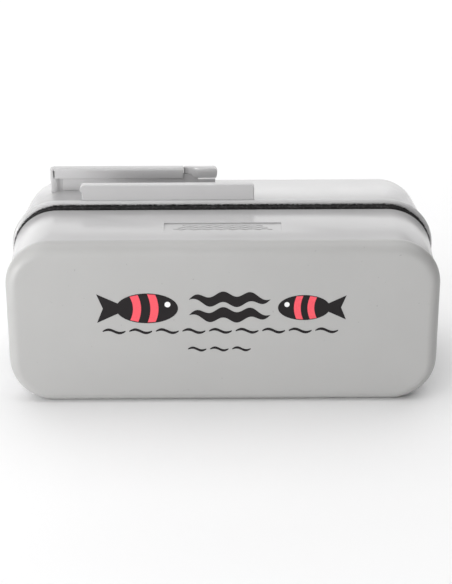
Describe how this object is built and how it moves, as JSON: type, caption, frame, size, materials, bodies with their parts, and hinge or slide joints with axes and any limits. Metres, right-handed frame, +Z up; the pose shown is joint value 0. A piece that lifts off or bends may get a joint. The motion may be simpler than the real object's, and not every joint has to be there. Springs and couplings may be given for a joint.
{
  "type": "magnetic glass cleaner",
  "caption": "Two-part magnetic aquarium glass cleaner: a dry handle half and a floating wet half with a scraper rail, clamped pad to pad across the glass.",
  "frame": {"origin": "bottom centre, on the plane where the two pads meet (the glass plane)", "axes": "+X along the cleaner's length, +Y from the handle half to the floating half, +Z up, away from the long edge it stands on"},
  "size_m": [0.1434, 0.0682, 0.065],
  "materials": {
    "cover_plastic": "satin",
    "shell_plastic": "gloss",
    "ferrite": "matt",
    "cradle_plastic": "matt",
    "steel": "brushed",
    "foam": "matt",
    "tape": "matt",
    "felt": "soft felt",
    "scrub_hooks": "hook pile",
    "seal_rubber": "matt"
  },
  "bodies": {
    "handle": {"handle_cover": "cover_plastic", "handle_shell": "shell_plastic", "handle_magnet_left": "ferrite", "handle_magnet_centre": "ferrite", "handle_magnet_right": "ferrite", "handle_magnet_cradle": "cradle_plastic", "handle_keeper_plate": "steel", "handle_foam_block": "foam", "handle_pad_tape": "tape", "handle_felt_pad": "felt"},
    "float": {"float_face_plate": "shell_plastic", "float_shell": "shell_plastic", "float_seal_ring": "seal_rubber", "float_magnet_left": "ferrite", "float_magnet_centre": "ferrite", "float_magnet_right": "ferrite", "float_magnet_cradle": "cradle_plastic", "float_keeper_plate": "steel", "float_pad_tape": "tape", "float_scrub_pad": "scrub_hooks", "scraper_rail_fin": "shell_plastic", "scraper_rail_channel": "shell_plastic"},
    "latch": {"scraper_latch_tab": "shell_plastic"}
  },
  "joints": [
    {"name": "float_separation", "type": "slide", "parent": "handle", "child": "float", "axis": [0, 1, 0], "range_m": [0, 0.025]},
    {"name": "latch_flex", "type": "hinge", "parent": "float", "child": "latch", "pos_m": [-0.0126, 0.0186, 0.0636], "axis": [0, 0, 1], "range_deg": [0, 5], "stiffness_Nm_per_rad": 0.45}
  ]
}
